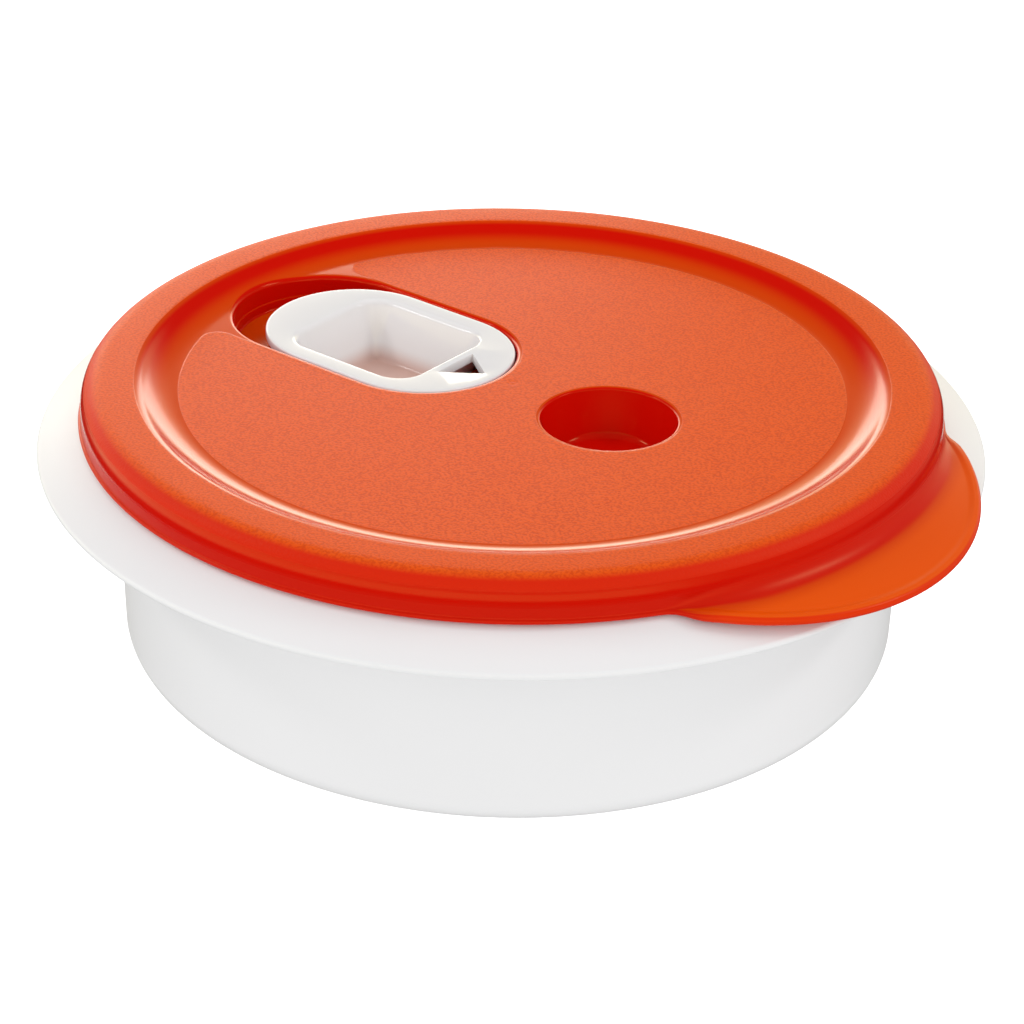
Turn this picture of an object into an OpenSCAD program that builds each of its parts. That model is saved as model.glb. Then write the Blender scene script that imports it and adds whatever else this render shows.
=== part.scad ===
// Low microwave steam sterilizer: a round dish with a wide brim, a press-on lid
// with a lift tab and a sliding steam vent, and a perforated rack inside.
// +Z is up, the origin is the centre of the dish's underside, and the lift tab
// points along +X. All sizes are in millimetres.

/* [Dish] */
// Height of the middle of the brim's rounded lip above the table
lip_z = 57.5; // [46:0.5:90]
// Outer radius of the dish's wall where it meets the brim
wall_top_r = 100.5; // [84:0.5:125]
// Width of the brim outside the wall
brim_w = 19.5; // [15:0.5:28]
// How much narrower the wall is at the top of its bottom corner
wall_taper = 1.0; // [0:0.1:6]
// How far the bottom corner rounds inwards
corner_w = 19; // [8:0.5:30]
// How far the bottom corner rounds upwards
corner_h = 10; // [6:0.5:20]
// Thickness of the dish's wall and brim
dish_t = 2.2; // [1.6:0.1:3]
// Rise of the brim from its lip to its shelf, per millimetre of width
brim_slope = 0.5; // [0.4:0.01:0.55]
// Width of the flat shelf between the wall and the brim's slope
shelf_w = 6; // [4:0.1:6.2]

/* [Lid] */
// Height of the top of the lid's ring above the brim's lip
ring_rise = 17.8; // [14:0.1:26]
// Depth of the flat panel below the top of the ring
panel_drop = 3.8; // [2:0.1:5]
// Width of the curved groove between the flat panel and the ring's flat top
groove_w = 12; // [9:0.1:15]
// Radius of the rounding between the groove and the ring's flat top
ring_round = 5.5; // [2:0.5:8]
// How far the ring's flat top starts inside the dish's wall
ring_inset = 4.3; // [3.5:0.1:7]
// Width of the ring, from the start of its flat top to the outside of its shoulder
ring_w = 12.4; // [12.2:0.1:14]
// Radius of the ring's outer shoulder
shoulder_round = 6; // [4:0.1:6.2]
// How far the lip at the skirt's foot stands out past the shoulder
lip_w = 0.7; // [0.4:0.1:2]
// Thickness of that lip
lip_t = 1.2; // [0.8:0.1:2]
// Thickness of the lid
lid_t = 2.0; // [1.4:0.1:2.4]

/* [Lift tab] */
// Radius of the tab's round outline
tab_r = 68.5; // [50:0.5:72]
// How far the tab reaches past the brim
tab_overhang = 6.8; // [4:0.1:14]
// Fall of the tab away from the skirt, per millimetre
tab_slope = 0.3; // [0.1:0.01:0.35]
// Thickness of the tab
tab_t = 2.4; // [1.6:0.1:3]
// Width of the bead along the tab's edge
tab_bead_w = 2.2; // [1:0.1:4]
// How far the tab is sunk below that bead
tab_dish = 0.5; // [0:0.1:0.8]

/* [Finger cup] */
// Distance of the cup from the lid's centre
cup_x = 30.5; // [22:0.5:45]
// Radius of the cup at its mouth
cup_r = 17; // [12:0.5:20]
// Depth of the cup
cup_depth = 12; // [6:0.5:16]
// Radius of the cup's floor
cup_floor_r = 13; // [9:0.5:16]

/* [Vent recess] */
// How far the recess's outer end reaches past the flat panel
recess_reach = 3.1; // [0:0.1:5]
// Depth of the recess below the panel
recess_depth = 7.6; // [6:0.1:10]
// Travel of the vent slider
vent_travel = 10.8; // [6:0.1:14]

/* [Vent slider] */
// Length of the slider's plate
plate_l = 70.4; // [60:0.1:72]
// Width of the slider's plate
plate_w = 47.2; // [42:0.1:52]
// Thickness of the plate
plate_t = 2.4; // [1.8:0.1:3]
// Depth of the plate's top below the panel
plate_drop = 0.2; // [0:0.1:1]
// Length of the finger well's mouth
well_l = 40.2; // [34:0.1:44]
// Width of the finger well's mouth
well_w = 35.2; // [28:0.1:38]
// Depth of the finger well
well_depth = 15; // [12:0.5:18]
// Corner radius of the finger well's mouth
well_corner = 7; // [4:0.5:10]
// Slope of the finger well's walls, in degrees from upright
well_draft = 20; // [5:1:22]
// Thickness of the finger well's walls
well_t = 1.6; // [1.2:0.1:2.2]
// Width of the plate left between the well and the arrow hole
arrow_web = 2.5; // [0.8:0.1:3]
// Length of the arrow hole
arrow_l = 9.8; // [6:0.1:10]
// Width of the arrow hole at its base
arrow_w = 14; // [8:0.5:18]

/* [Steam rack] */
// Gap between the rack's edge and the dish's inner wall
rack_gap = 5; // [2:0.5:12]
// Height of the rack's deck above the dish's floor
rack_rise = 12; // [8:0.5:18]
// Thickness of the rack's deck
rack_t = 2; // [1.5:0.1:3]
// Radius of each steam hole
steam_hole_r = 3; // [2:0.1:4]
// Number of rings of steam holes
hole_rings = 6; // [3:1:6]
// Number of legs
leg_count = 6; // [4:1:8]

/* [Fits] */
// Gap between the slider and the sides of its recess and slot
slide_gap = 0.4; // [0.3:0.05:0.8]
// Gap between faces of different pieces that rest on each other
rest_gap = 0.3; // [0.25:0.05:0.6]
// Gap between the lid and the dish's rim
rim_gap = 0.5; // [0.3:0.05:0.8]

/* [Hidden] */
$fn = 96;
eps = 0.01;
arc_steps = 8;

// Points on an elliptical arc in the plane of a revolved outline.
function arc(cx, cz, rx, rz, from, to, n = arc_steps) =
  [for (i = [0:n]) let (a = from + (to - from) * i / n) [cx + rx * cos(a), cz + rz * sin(a)]];

// Dish
brim_r = wall_top_r + brim_w;
lip_r = dish_t / 2;
brim_lean = atan(brim_slope);
wall_low_r = wall_top_r - wall_taper;
foot_r = wall_low_r - corner_w;
shelf_r = wall_top_r + shelf_w;
shelf_z = lip_z + (brim_r - lip_r - shelf_r) * brim_slope;
rim_bead_r = 1.6;
rim_r = wall_top_r + 0.8;
rim_z = lip_z + ring_rise - lid_t - rim_gap - rim_bead_r;
dish_floor = dish_t + 0.2;
dish_in_r = wall_top_r - dish_t;

// Lid
ring_z = lip_z + ring_rise;
panel_z = ring_z - panel_drop;
ring_in_r = wall_top_r - ring_inset;
panel_r = ring_in_r - groove_w;
shoulder_r = ring_in_r + ring_w;
shoulder_x = shoulder_r - shoulder_round;
shoulder_z = ring_z - shoulder_round;
skirt_r = shoulder_r + lip_w;
skirt_in_r = skirt_r - lid_t;
skirt_z = lip_z + lip_r + (brim_r - lip_r - skirt_in_r) * brim_slope + rest_gap;
groove_angle = 2 * atan(panel_drop / groove_w);
groove_round = groove_w / sin(groove_angle) - ring_round;
seal_t = 1.4;
seal_r = dish_in_r - rim_gap;
seal_reach = 7;

// Tab
tab_x = brim_r + tab_overhang - tab_r;
tab_root_r = skirt_r - lip_t / 2;

// Vent
recess_w = plate_w + 2 * slide_gap;
recess_l = plate_l + 2 * slide_gap + vent_travel;
recess_z = panel_z - recess_depth;
plate_top = panel_z - plate_drop;
recess_x = recess_l / 2 - panel_r - recess_reach;
slider_x = recess_x + vent_travel / 2;
well_x = -0.5;
well_shrink = tan(well_draft);
wall_step = well_t / cos(well_draft);
// Half sizes of the well's outside at the top face of the recess's floor.
neck_drop = plate_top - recess_z;
neck_l = well_l / 2 - neck_drop * well_shrink + wall_step;
neck_w = well_w / 2 - neck_drop * well_shrink + wall_step;
slot_l = 2 * (neck_l + slide_gap) + vent_travel;
slot_w = 2 * (neck_w + slide_gap);
slot_corner = max(2, well_corner - neck_drop * well_shrink + wall_step);
arrow_x = well_x + well_l / 2 + arrow_web;
rail_t = 1.6;
rail_l = plate_l - plate_w;
clip_l = 12;
clip_h = 1.2;
clip_reach = 1.2;

// Rack
rack_r = dish_in_r - wall_taper - rack_gap;
deck_z = dish_floor + rack_rise;
rack_rim_h = 1.2;
rack_rim_t = 2;
leg_r = 3.5;
leg_ring_r = rack_r - 14;
grip_l = 26;
grip_w = 14;
grip_x = 0.6 * rack_r;
hole_pitch = (rack_r - rack_rim_t - 3 * steam_hole_r) / hole_rings;

// A flat oval: two round ends joined by straight sides.
module stadium(l, w) {
  straight = l - w;
  for (side = [-1, 1]) translate([side * straight / 2, 0]) circle(d = w);
  square([straight, w], center = true);
}

// A rectangle with round corners.
module round_rect(l, w, r) {
  for (x = [-1, 1], y = [-1, 1]) translate([x * (l / 2 - r), y * (w / 2 - r)]) circle(r = r);
  square([l - 2 * r, w], center = true);
  square([l, w - 2 * r], center = true);
}

// Dish: base, rounded corner, steep wall, brim with a flat shelf, a slope and a
// round lip, and an upright collar whose bead the lid presses over.
module bowl() {
  collar_r = rim_r + rim_bead_r - 1.2;
  outline = concat(
    [[0, 0], [foot_r, 0]],
    arc(foot_r, corner_h, corner_w, corner_h, -90, 0),
    [[wall_top_r, shelf_z - lip_r - 1.5], [wall_top_r + 1.5, shelf_z - lip_r]],
    [[shelf_r - 0.3, shelf_z - lip_r]],
    arc(brim_r - lip_r, lip_z, lip_r, lip_r, -90 - brim_lean, 90 - brim_lean),
    [[shelf_r, shelf_z + lip_r], [collar_r + 1, shelf_z + lip_r], [collar_r, shelf_z + lip_r + 1]],
    [[collar_r, rim_z - rim_bead_r]],
    arc(rim_r, rim_z, rim_bead_r, rim_bead_r, -20, 180),
    [[dish_in_r, rim_z - 2], [dish_in_r, lip_z], [wall_low_r - dish_t, corner_h]],
    arc(foot_r, corner_h, corner_w - dish_t, corner_h - dish_floor, 0, -90),
    [[0, dish_floor]]
  );
  color("white") rotate_extrude() polygon(outline);
}

// Revolved shell of the lid: panel, curved groove, ring with a broad round
// shoulder, short skirt with a lip at its foot, and a rib that hangs inside the
// dish's mouth.
module lid_shell() {
  outline = concat(
    [[0, panel_z]],
    arc(panel_r, panel_z + groove_round, groove_round, groove_round, -90, groove_angle - 90),
    arc(ring_in_r, ring_z - ring_round, ring_round, ring_round, 90 + groove_angle, 90),
    arc(shoulder_x, shoulder_z, shoulder_round, shoulder_round, 90, 0),
    [[shoulder_r + 0.1, skirt_z + lip_t]],
    arc(tab_root_r, skirt_z + lip_t / 2, lip_t / 2, lip_t / 2, 80, -90),
    [[skirt_in_r, skirt_z]],
    arc(shoulder_x, shoulder_z, shoulder_round - lid_t, shoulder_round - lid_t, 0, 90),
    [[seal_r, ring_z - lid_t], [seal_r, ring_z - lid_t - seal_reach + 0.6]],
    [[seal_r - 0.4, ring_z - lid_t - seal_reach], [seal_r - seal_t, ring_z - lid_t - seal_reach]],
    [[seal_r - seal_t, ring_z - lid_t - 1.2], [ring_in_r - ring_round, ring_z - lid_t - 1.6]],
    [[panel_r + groove_w / 3, panel_z - lid_t + 0.2], [panel_r, panel_z - lid_t], [0, panel_z - lid_t]]
  );
  rotate_extrude() polygon(outline);
}

// Part of a sheet that falls away from the skirt, within a circle about the tab's
// centre. low and high are its two faces, above the skirt's foot at the skirt.
module tab_sheet(r, low, high) {
  end_r = brim_r + tab_overhang + 2;
  fall = (end_r - tab_root_r) * tab_slope;
  intersection() {
    translate([0, 0, skirt_z]) rotate_extrude() polygon([
      [tab_root_r, low], [end_r, low - fall], [end_r, high - fall], [tab_root_r, high]
    ]);
    translate([tab_x, 0, skirt_z - 20]) cylinder(r = r, h = 40);
  }
}

// Lift tab: the skirt's lip runs out into a round tongue with a bead on its edge.
module lift_tab() {
  difference() {
    tab_sheet(tab_r, 0, tab_t);
    tab_sheet(tab_r - tab_bead_w, tab_t - tab_dish, tab_t + 2);
  }
}

// Finger cup, as a solid of revolution about its own axis.
module cup_solid(grow) {
  translate([cup_x, 0, panel_z - cup_depth - grow])
    cylinder(r1 = cup_floor_r + grow, r2 = cup_r + grow, h = cup_depth + grow);
}

// Outline of the long recess, seen from above.
module recess_outline(grow) {
  translate([recess_x, 0]) stadium(recess_l + 2 * grow, recess_w + 2 * grow);
}

// Slot in the recess's floor that the finger well passes through.
module vent_slot() {
  slot_end = slider_x + well_x + neck_l + slide_gap;
  translate([slot_end - slot_l / 2, 0, recess_z - lid_t - 1])
    linear_extrude(lid_t + 2) round_rect(slot_l, slot_w, slot_corner);
}

// Lid: shell, tab, cup and recess in one moulding.
module lid() {
  color("orangered") difference() {
    union() {
      lid_shell();
      lift_tab();
      cup_solid(lid_t - 0.2);
      translate([0, 0, recess_z - lid_t])
        linear_extrude(recess_depth + lid_t - 0.5) recess_outline(lid_t - 0.2);
    }
    translate([0, 0, eps]) cup_solid(0);
    translate([0, 0, recess_z]) linear_extrude(recess_depth + panel_drop + 1) recess_outline(0);
    vent_slot();
  }
}

// Finger well as a solid block that narrows downwards from the plate's top.
module well_solid(grow, drop, above) {
  shrink = drop * well_shrink;
  hull() {
    translate([0, 0, plate_top + above - eps]) linear_extrude(eps)
      round_rect(well_l + 2 * grow, well_w + 2 * grow, well_corner + grow, $fn = 32);
    translate([0, 0, plate_top - drop]) linear_extrude(eps)
      round_rect(well_l + 2 * (grow - shrink), well_w + 2 * (grow - shrink),
        max(1.5, well_corner + grow - shrink), $fn = 32);
  }
}

// Vent slider: oval plate, sloping finger well, arrow-shaped steam hole, two
// rails that run on the recess's floor, and two clips that catch under the slot.
module vent_slider() {
  clip_top = recess_z - lid_t - rest_gap;
  clip_w = slot_w + 2 * clip_reach;
  rail_h = plate_top - plate_t - recess_z - rest_gap;
  color("whitesmoke") translate([slider_x, 0, 0]) {
    difference() {
      union() {
        translate([0, 0, plate_top - plate_t]) linear_extrude(plate_t) stadium(plate_l, plate_w);
        for (side = [-1, 1])
          translate([-rail_l / 2, side * (plate_w / 2 - 1 - rail_t / 2) - rail_t / 2, recess_z + rest_gap])
            cube([rail_l, rail_t, rail_h + eps]);
        translate([well_x, 0, 0]) well_solid(wall_step, well_depth + well_t, -0.5);
        translate([well_x - clip_l / 2, -clip_w / 2, clip_top - clip_h]) cube([clip_l, clip_w, clip_h]);
      }
      translate([well_x, 0, 0]) well_solid(0, well_depth, 0.5);
      translate([arrow_x, 0, plate_top - plate_t - 1]) linear_extrude(plate_t + 2)
        polygon([[0, -arrow_w / 2], [arrow_l, 0], [0, arrow_w / 2]]);
    }
  }
}

// Steam rack: round deck with a low rim, legs, rings of steam holes and two
// openings for the fingers.
module steam_rack() {
  color("gainsboro") {
    difference() {
      union() {
        translate([0, 0, deck_z - rack_t]) cylinder(r = rack_r, h = rack_t);
        translate([0, 0, deck_z - rack_t]) difference() {
          cylinder(r = rack_r, h = rack_t + rack_rim_h);
          translate([0, 0, -eps]) cylinder(r = rack_r - rack_rim_t, h = rack_t + rack_rim_h + 2 * eps);
        }
      }
      for (ring = [1:hole_rings - 1], i = [0:6 * ring - 1])
        rotate([0, 0, i * 60 / ring]) translate([ring * hole_pitch, 0, deck_z - rack_t - 1])
          if (clear_of_grips(ring * hole_pitch, i * 60 / ring) && clear_of_legs(ring * hole_pitch, i * 60 / ring))
            cylinder(r = steam_hole_r, h = rack_t + 2);
      for (side = [-1, 1]) translate([side * grip_x, 0, deck_z - rack_t - 1])
        linear_extrude(rack_t + 2) rotate(90) stadium(grip_l, grip_w);
    }
    for (i = [0:leg_count - 1]) rotate([0, 0, (i + 0.5) * 360 / leg_count])
      translate([leg_ring_r, 0, dish_floor + rest_gap])
        cylinder(r1 = leg_r - 0.6, r2 = leg_r, h = rack_rise - rack_t - rest_gap + eps);
  }
}

// True where a steam hole at radius r and angle a keeps clear of both finger openings.
function clear_of_grips(r, a) =
  abs(abs(r * cos(a)) - grip_x) > grip_w / 2 + steam_hole_r + 2 || abs(r * sin(a)) > grip_l / 2 + steam_hole_r + 2;

// True where a steam hole at radius r and angle a keeps clear of every leg.
function clear_of_legs(r, a) =
  min([for (i = [0:leg_count - 1]) let (b = (i + 0.5) * 360 / leg_count)
    norm([r * cos(a) - leg_ring_r * cos(b), r * sin(a) - leg_ring_r * sin(b)])]) > leg_r + steam_hole_r + 0.8;

bowl();
lid();
vent_slider();
steam_rack();
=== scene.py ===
# %% [markdown]
# # A microwave steam sterilizer
#
# The object is a round white dish with a wide brim, an orange lid that presses over
# its rim, a white vent slider let into the lid, and a perforated rack inside that
# holds teats and bottle parts above the water. The CAD model fixes every size and
# place. These cells load it, and then build a finer skin for each of its pieces.

import math

import bmesh
import bpy
import numpy as np
from mathutils import Matrix, Vector
from mathutils.geometry import delaunay_2d_cdt


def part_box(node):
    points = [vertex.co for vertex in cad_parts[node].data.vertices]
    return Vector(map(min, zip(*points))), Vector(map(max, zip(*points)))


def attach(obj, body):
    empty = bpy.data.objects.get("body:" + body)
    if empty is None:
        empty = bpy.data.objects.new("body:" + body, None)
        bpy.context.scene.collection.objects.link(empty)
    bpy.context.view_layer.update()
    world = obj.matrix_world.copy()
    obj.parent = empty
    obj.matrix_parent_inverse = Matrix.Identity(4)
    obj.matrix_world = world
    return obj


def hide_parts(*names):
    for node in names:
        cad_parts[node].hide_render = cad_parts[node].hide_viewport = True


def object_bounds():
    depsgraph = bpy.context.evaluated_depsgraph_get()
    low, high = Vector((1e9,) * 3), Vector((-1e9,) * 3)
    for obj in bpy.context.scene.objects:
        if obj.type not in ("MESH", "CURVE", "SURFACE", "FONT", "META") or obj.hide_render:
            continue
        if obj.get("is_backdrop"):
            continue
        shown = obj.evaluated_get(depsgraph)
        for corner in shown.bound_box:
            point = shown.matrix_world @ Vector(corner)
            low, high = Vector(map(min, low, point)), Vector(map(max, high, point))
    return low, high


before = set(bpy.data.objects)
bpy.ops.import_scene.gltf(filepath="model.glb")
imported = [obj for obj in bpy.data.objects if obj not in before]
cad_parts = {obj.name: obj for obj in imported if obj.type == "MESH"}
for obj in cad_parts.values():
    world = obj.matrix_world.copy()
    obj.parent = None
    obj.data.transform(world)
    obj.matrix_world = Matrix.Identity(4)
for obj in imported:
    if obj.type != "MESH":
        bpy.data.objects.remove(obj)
cad_low, cad_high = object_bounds()

# %% [markdown]
# ## Sizes
#
# Blender measures in metres. Moulded parts are drawn in millimetres, so the sizes
# below are too, and one factor, `MM`, turns them into metres when a mesh is made. The
# outer sizes are read off the CAD boxes, so that the skins can't outgrow them.

# %% Sizes
MM = 0.001
bowl_low, bowl_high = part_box("bowl")
_, lid_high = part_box("lid")

BRIM_R = min(-bowl_low.x, bowl_high.x, -bowl_low.y, bowl_high.y) / MM
RING_Z = lid_high.z / MM
TAB_END = lid_high.x / MM
WALL_R = 100.5          # outside of the dish's wall, under the brim
LIP_Z = 57.5            # middle of the brim's round lip
DISH_T = 2.2            # wall of the dish
BRIM_SLOPE, SHELF_W = 0.5, 6.0   # the brim's fall, and its flat part by the wall
PANEL_DROP = 3.8        # flat panel of the lid, below the top of its ring
PANEL_Z = RING_Z - PANEL_DROP
PANEL_R = 84.2
RING_IN_R = 96.2        # where the ring's flat top starts
LID_T = 2.0
print(f"brim radius {BRIM_R:.2f}, ring top {RING_Z:.2f}, tab reaches {TAB_END:.2f} mm")

# %% [markdown]
# ## The camera
#
# The camera looks down at the lid from about 28 degrees, with the lift tab to its
# right. A long lens stands far away and flattens the ellipses. The camera's own axes
# are worked out as three vectors and put in one matrix, so a slight roll is only a
# turn of two of them.

# %% Camera
AZIMUTH, ELEVATION, ROLL = math.radians(38), math.radians(28.45), math.radians(1.2)
DISTANCE, LENS = 0.81, 110.18
LOOK_AT_Z, LOOK_AT_RIGHT = 0.03436, 0.0005

right = Vector((math.cos(AZIMUTH), math.sin(AZIMUTH), 0))
toward = Vector((
    math.cos(ELEVATION) * math.sin(AZIMUTH),
    -math.cos(ELEVATION) * math.cos(AZIMUTH),
    math.sin(ELEVATION),
))
up = toward.cross(right)
axis_x = right * math.cos(ROLL) + up * math.sin(ROLL)
axis_y = up * math.cos(ROLL) - right * math.sin(ROLL)

camera = bpy.data.objects.new("camera", bpy.data.cameras.new("camera"))
bpy.context.scene.collection.objects.link(camera)
camera.data.lens, camera.data.sensor_width = LENS, 36
place = right * LOOK_AT_RIGHT + Vector((0, 0, LOOK_AT_Z)) + toward * DISTANCE
camera.matrix_world = Matrix.Translation(place) @ Matrix(
    (axis_x, axis_y, toward)
).transposed().to_4x4()
bpy.context.scene.camera = camera
print("camera at", [round(v, 3) for v in place])

# %% [markdown]
# ## Sums that draw nodes
#
# Node trees are long to write socket by socket. `Graph.add` makes any node from its
# type, its settings and its inputs. `Wire` is what it returns: a socket that takes
# part in ordinary sums, so `1 - mask` adds the Subtract node by itself. The same two
# classes serve materials and Geometry Nodes.

# %% Graph and Wire
class Wire:
    """A socket in a node tree; sums on it add Math nodes."""

    def __init__(self, graph, socket):
        self.graph, self.socket = graph, socket

    def maths(self, operation, *values):
        return self.graph.maths(operation, self, *values)

    def __add__(self, other):
        return self.maths("ADD", other)

    def __sub__(self, other):
        return self.maths("SUBTRACT", other)

    def __rsub__(self, other):
        return self.graph.maths("SUBTRACT", other, self)

    def __mul__(self, other):
        return self.maths("MULTIPLY", other)

    __radd__, __rmul__ = __add__, __mul__

    def least(self, other):
        return self.maths("MINIMUM", other)

    def most(self, other):
        return self.maths("MAXIMUM", other)

    def output(self, name):
        """Another output of the same node."""
        return Wire(self.graph, self.socket.node.outputs[name])


class Graph:
    """A node tree that grows one node at a time."""

    def __init__(self, tree):
        self.tree = tree

    def add(self, kind, settings=None, inputs=None, out=0):
        node = self.tree.nodes.new(kind)
        for name, value in (settings or {}).items():
            setattr(node, name, value)
        for key, value in (inputs or {}).items():
            for item in value if isinstance(value, list) else [value]:
                self.put(node, key, item)
        return Wire(self, node.outputs[out]) if len(node.outputs) else None

    def put(self, node, key, value):
        """Links a wire to an input, or sets the input to a value."""
        if isinstance(value, Wire):
            self.tree.links.new(value.socket, node.inputs[key])
        else:
            node.inputs[key].default_value = value

    def maths(self, operation, *values):
        return self.add("ShaderNodeMath", {"operation": operation}, dict(enumerate(values)))

    def step(self, value, low, high):
        """0 below low, 1 above high, and a smooth slope between them."""
        return self.add(
            "ShaderNodeMapRange", {"interpolation_type": "SMOOTHSTEP"},
            {"Value": value, "From Min": low, "From Max": high},
        )

    def split(self, vector):
        """The three numbers of a vector."""
        x = self.add("ShaderNodeSeparateXYZ", None, {0: vector})
        return x, x.output("Y"), x.output("Z")


print("sums now draw nodes")

# %% [markdown]
# ## Finishes
#
# The lid is one moulding in two textures. The mould is spark-eroded where the flat
# panel and the top of the ring are formed, which leaves a fine grain that scatters
# light and looks paler; that paleness is painted into the grained colour as a sheen.
# The groove, the cup, the recess, the skirt and the tab come from polished steel and
# are glossy and deeper in colour. Where one meets the other is a rule: circles about
# the lid's centre, and a rounded corner on each side of the recess. So the texture is
# a mask worked out from the object's own coordinates, and it mixes the colour, the
# roughness and the grain together.
#
# Light that enters a level part of this plastic scatters and comes back pale, while
# a steep side gets less light and looks a deeper red. Scattering under the surface
# could be simulated, but it can't be baked. So the difference is painted shade: each
# texture has one colour for level faces and a darker one for steep faces, and the
# surface's normal picks. Inside the finger cup the gloss keeps its darker colour on
# every face, as painted shade in that hollow.

# %% Helpers for finishes
def new_finish(name):
    """A material with an empty tree, its Principled shader, and the object's own coordinates in
    metres.
    """
    material = bpy.data.materials.new(name)
    material.use_nodes = True
    tree = material.node_tree
    tree.nodes.clear()
    graph = Graph(tree)
    place = graph.add("ShaderNodeTexCoord", out=3)
    surface = graph.add("ShaderNodeBsdfPrincipled")
    graph.add("ShaderNodeOutputMaterial", None, {"Surface": surface})
    return material, graph, place, surface.socket.node


def feed(graph, shader, **values):
    """Links or sets the shader's own sockets; an underscore stands for a space."""
    for name, value in values.items():
        graph.put(shader, name.replace("_", " "), value)


def grain(graph, place, per_metre, detail=2.0):
    """Fine even noise, from 0 to 1."""
    return graph.add(
        "ShaderNodeTexNoise", None, {"Vector": place, "Scale": per_metre, "Detail": detail}
    )


def blend(graph, factor, first, second):
    """A colour that goes from first to second."""
    return graph.add(
        "ShaderNodeMix", {"data_type": "RGBA"}, {"Factor": factor, 6: first, 7: second}, out=2
    )


print("finishes can be mixed")

# %% The lid's two-texture plastic
CUP_X, CUP_R = 30.5, 17.0
RECESS_END_X = -29.3      # centre of the recess's inner round end
LOBE_HALF, LOBE_ROUND = 25.4, 6.5
# The second gloss colour and the last matte colour are painted shade, for steep faces.
GLOSS_FLAT, GLOSS_PAINTED_SHADE = (0.68, 0.052, 0.0004, 1), (0.63, 0.003, 0.0001, 1)
# Painted light: the tab's colours are paler, as if lit through its thin plastic; the second is also
# painted shade, for steep faces.
TAB_PAINTED_GLOW, TAB_PAINTED_GLOW_SHADED = (0.83, 0.088, 0.0002, 1), (0.76, 0.028, 0.0001, 1)
# The first matte colour is pale with painted sheen; the second is the darker speck of the grain.
MATTE_WITH_PAINTED_SHEEN, MATTE_GRAIN = (0.83, 0.092, 0.003, 1), (0.68, 0.056, 0.001, 1)
MATTE_PAINTED_SHADE = (0.70, 0.010, 0.0001, 1)

orange, graph, place, shader = new_finish("orange_two_texture")
x, y, z = (v * (1 / MM) for v in graph.split(place))
from_axis = (x * x + y * y).maths("SQRT")
past_end = (x - RECESS_END_X).most(0)
from_recess = (past_end * past_end + y * y).maths("SQRT") - LOBE_HALF
corner_a = (LOBE_ROUND - (PANEL_R - from_axis)).most(0)
corner_b = (LOBE_ROUND - from_recess).most(0)
in_panel = LOBE_ROUND - (corner_a * corner_a + corner_b * corner_b).maths("SQRT")
cup_dx = x - CUP_X
from_cup = (cup_dx * cup_dx + y * y).maths("SQRT") - (CUP_R + 1.1)
panel_mask = graph.step(in_panel.least(from_cup), -0.15, 0.15)
panel_mask = panel_mask * graph.step(z, PANEL_Z - 0.5, PANEL_Z - 0.3)
ring_mask = graph.step(from_axis, 94.9, 95.3) * graph.step(z, RING_Z - 3.2, RING_Z - 2.4)
matte = panel_mask.most(ring_mask)

# Painted shade: the normal's upward part picks the darker colour for steep faces.
facing_up = graph.split(graph.add("ShaderNodeNewGeometry", out=1))[2]
flat = graph.step(facing_up, 0.80, 0.985)
# Inside the finger cup the gloss stays in its darker colour, painted shade, even on level faces.
gloss_unshaded = graph.step(facing_up, 0.87, 1.0) * graph.step(from_cup, -2.2, -0.6)
skirt = graph.step(from_axis, 99, 102) * graph.step(z, PANEL_Z - 1.5, PANEL_Z - 3.5)
# Painted light on the tab: this mask gives it the paler colours.
tab = graph.step(from_axis, 110.5, 116) * graph.step(z, PANEL_Z - 4.0, PANEL_Z - 6.5)

fine = grain(graph, place, 1500, 1.5)
coarse = grain(graph, place, 90)
glossy_with_painted_shade = blend(graph, gloss_unshaded, GLOSS_PAINTED_SHADE, GLOSS_FLAT)
glossy_with_painted_shade = blend(graph, tab, glossy_with_painted_shade, blend(graph, flat, TAB_PAINTED_GLOW_SHADED, TAB_PAINTED_GLOW))
speckle = blend(graph, graph.step(fine, 0.32, 0.62), MATTE_GRAIN, MATTE_WITH_PAINTED_SHEEN)
grained_with_painted_shade = blend(graph, flat, MATTE_PAINTED_SHADE, speckle)
bump = graph.add(
    "ShaderNodeBump", None,
    {"Strength": 0.9, "Distance": 0.12 * MM,
     "Height": fine * matte + grain(graph, place, 260) * 0.02},
)
feed(
    graph, shader, Base_Color=blend(graph, matte, glossy_with_painted_shade, grained_with_painted_shade), Normal=bump,
    Roughness=0.15 + matte * 0.35 + skirt * (1 - matte) * 0.17 + (coarse - 0.5) * 0.03,
    IOR=1.46, Specular_IOR_Level=0.30, Specular_Tint=(1.0, 0.78, 0.30, 1),
)
print("orange plastic:", len(orange.node_tree.nodes), "nodes")

# %% [markdown]
# ## White plastics
#
# The dish and the rack are satin: a faint waviness and a roughness of about 0.4. The
# slider is polished and reflects its surroundings more sharply. All three vary very
# slightly in tone, as a moulding does where it cooled faster. Deep in the slider's
# well the colour turns darker and warm: painted shade, with a warm cast of painted
# orange light.

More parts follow.
